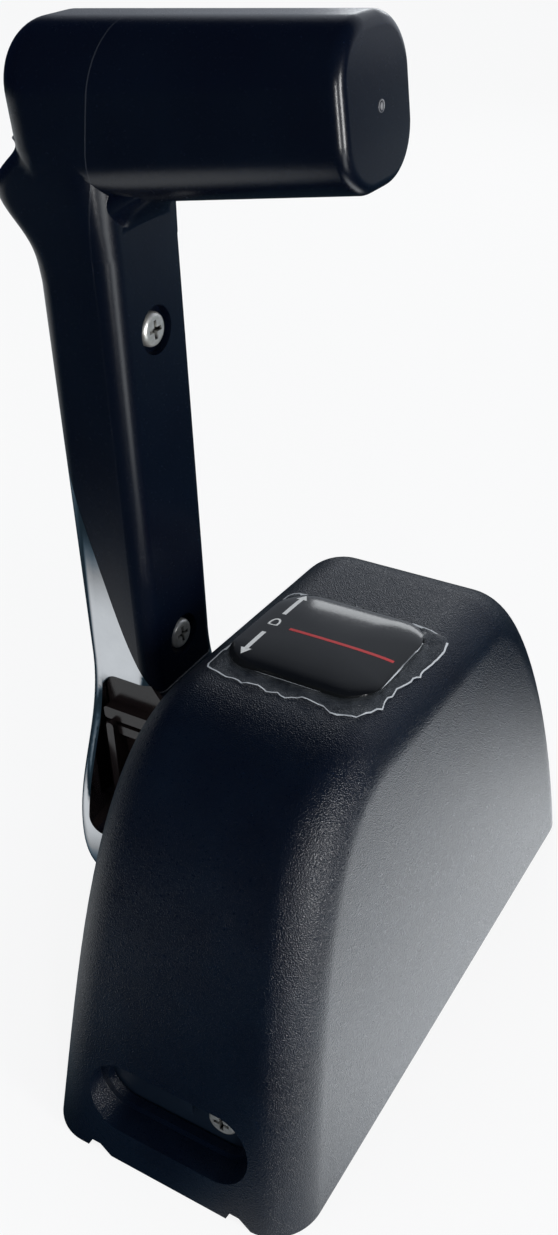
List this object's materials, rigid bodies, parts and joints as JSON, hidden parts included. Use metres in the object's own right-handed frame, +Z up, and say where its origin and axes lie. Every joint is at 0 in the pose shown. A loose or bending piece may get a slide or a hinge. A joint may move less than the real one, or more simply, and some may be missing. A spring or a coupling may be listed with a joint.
{
  "type": "boat throttle control lever",
  "caption": "Console-top single-lever engine control: grained housing with badge plate, side lever with cross grip, trim rocker, shift and throttle linkage inside.",
  "frame": {"origin": "middle of the housing's underside, on the console top", "axes": "+X from the lever side to the plain side, -Y towards the end with the access slot, +Z up"},
  "size_m": [0.1191, 0.189, 0.2697],
  "materials": {
    "housing_plastic": "pebble grain, black",
    "badge_plastic": "gloss, domed",
    "gasket_rubber": "matt",
    "cast_aluminium": "as cast",
    "plated_steel": "zinc plated",
    "panel_plastic": "plain",
    "bush_plastic": "natural acetal",
    "seal_rubber": "matt",
    "gear_steel": "hobbed",
    "chrome_arm": "bright plated",
    "lever_plastic": "satin black",
    "insert_plastic": "dull grey",
    "switch_plastic": "black",
    "button_plastic": "black",
    "spring_steel": "bright wire"
  },
  "bodies": {
    "housing": {"housing_cover": "housing_plastic", "badge_plate": "badge_plastic", "base_gasket": "gasket_rubber", "frame": "cast_aluminium", "bracket_panel": "panel_plastic", "bracket_screw": "plated_steel", "housing_screws": "plated_steel", "shaft_bush_left": "bush_plastic", "shaft_bush_right": "bush_plastic", "shaft_seal": "seal_rubber", "shift_axle": "gear_steel", "axle_spacers": "bush_plastic", "detent_spring": "spring_steel", "detent_plug": "plated_steel", "neutral_switch": "switch_plastic", "cable_seats": "cast_aluminium", "cable_caps": "cast_aluminium", "clamp_screws": "plated_steel"},
    "lever": {"main_shaft": "gear_steel", "shaft_key": "gear_steel", "retaining_ring": "spring_steel", "drive_gear": "gear_steel", "throttle_crank": "gear_steel", "throttle_pin": "gear_steel", "detent_cam": "gear_steel", "shaft_spacer": "bush_plastic", "lever_arm": "chrome_arm", "hub_insert": "insert_plastic", "hub_set_screw": "plated_steel", "lever_cover": "lever_plastic", "lever_cover_screws": "plated_steel", "handle_back": "lever_plastic", "grip": "lever_plastic", "trim_switch_body": "switch_plastic", "rocker_pin": "plated_steel", "button_spring": "spring_steel", "button_ring": "chrome_arm"},
    "shift_sector": {"shift_gear": "gear_steel", "shift_arm": "gear_steel", "shift_pin": "gear_steel", "shift_bush": "bush_plastic"},
    "trim_rocker": {"trim_rocker": "switch_plastic"},
    "throttle_button": {"throttle_button": "button_plastic"},
    "detent_plunger": {"detent_plunger": "plated_steel"},
    "switch_stem": {"switch_stem": "bush_plastic"}
  },
  "joints": [
    {"name": "lever_pivot", "type": "hinge", "parent": "housing", "child": "lever", "pos_m": [0, -0.0035, 0.043], "axis": [1, 0, 0], "range_deg": [-72, 72]},
    {"name": "shift_turn", "type": "hinge", "parent": "housing", "child": "shift_sector", "pos_m": [0, 0.03226, 0.06201], "axis": [1, 0, 0], "range_deg": [-37, 37]},
    {"name": "trim_rock", "type": "hinge", "parent": "lever", "child": "trim_rocker", "pos_m": [-0.06965, -0.0035, 0.24549], "axis": [0, 1, 0], "range_deg": [-8, 8], "stiffness_Nm_per_rad": 0.3},
    {"name": "button_push", "type": "slide", "parent": "lever", "child": "throttle_button", "axis": [1, 0, 0], "range_m": [0, 0.004], "stiffness_N_per_m": 400, "springref_m": -0.004, "deforming": ["button_spring"]},
    {"name": "detent_slide", "type": "slide", "parent": "housing", "child": "detent_plunger", "axis": [0, -1, 0], "range_m": [0, 0.0015], "stiffness_N_per_m": 600, "springref_m": -0.002, "deforming": ["detent_spring"]},
    {"name": "switch_press", "type": "slide", "parent": "housing", "child": "switch_stem", "axis": [0, 0, -1], "range_m": [0, 0.001], "stiffness_N_per_m": 200, "springref_m": -0.001}
  ],
  "couplings": [
    {"joint": "shift_turn", "follows": "lever_pivot", "ratio": -0.5}
  ]
}
